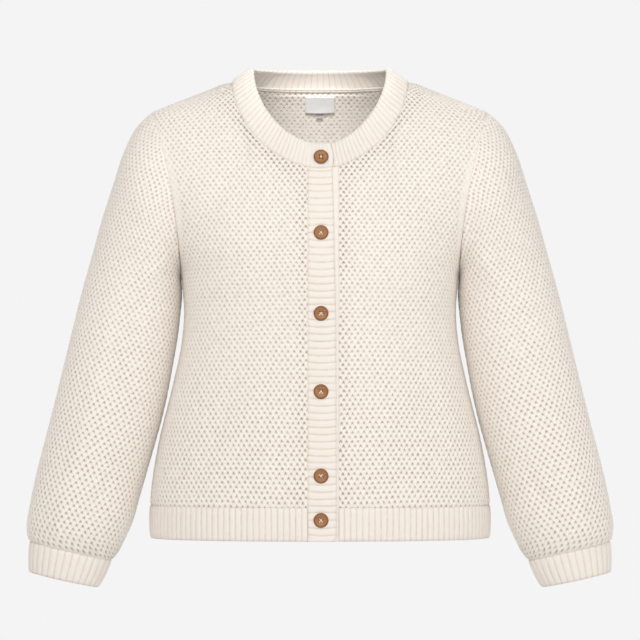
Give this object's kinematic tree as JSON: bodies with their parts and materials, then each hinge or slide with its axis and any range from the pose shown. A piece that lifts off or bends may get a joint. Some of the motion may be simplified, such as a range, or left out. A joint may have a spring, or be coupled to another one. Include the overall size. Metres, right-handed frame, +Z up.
{
  "type": "button cardigan",
  "caption": "Long-sleeved round-neck button cardigan in a raised cotton stitch, with ribbed neckband, front bands, hem and cuffs, filled out as worn.",
  "frame": {"origin": "midway between the two neck points, where the shoulder seams meet the neckband's sides and the wearer's shoulders carry the garment", "axes": "+X to the wearer's left, along the shoulders; the front faces -Y; +Z up, from the hem towards the neck"},
  "size_m": [0.7, 0.2381, 0.6218],
  "materials": {
    "ecru_knit": "matte cotton yarn in a raised, staggered bump stitch",
    "ecru_rib": "matte cotton yarn in a close wide rib",
    "button_wood": "turned brown wood with a raised rim, satin",
    "label_satin": "blank woven label, soft satin",
    "tab_satin": "blank grey woven size tab"
  },
  "bodies": {
    "root": {"back": "ecru_knit", "front_left": "ecru_knit", "front_right": "ecru_knit", "sleeve_left": "ecru_knit", "sleeve_right": "ecru_knit", "neckband": "ecru_rib", "buttonhole_band": "ecru_rib", "button_band": "ecru_rib", "hem_rib_back": "ecru_rib", "hem_rib_front_left": "ecru_rib", "hem_rib_front_right": "ecru_rib", "cuff_left": "ecru_rib", "cuff_right": "ecru_rib", "back_neck_tape": "ecru_rib", "button_1": "button_wood", "button_2": "button_wood", "button_3": "button_wood", "button_4": "button_wood", "button_5": "button_wood", "button_6": "button_wood", "neck_label": "label_satin", "size_tab": "tab_satin"}
  },
  "joints": []
}
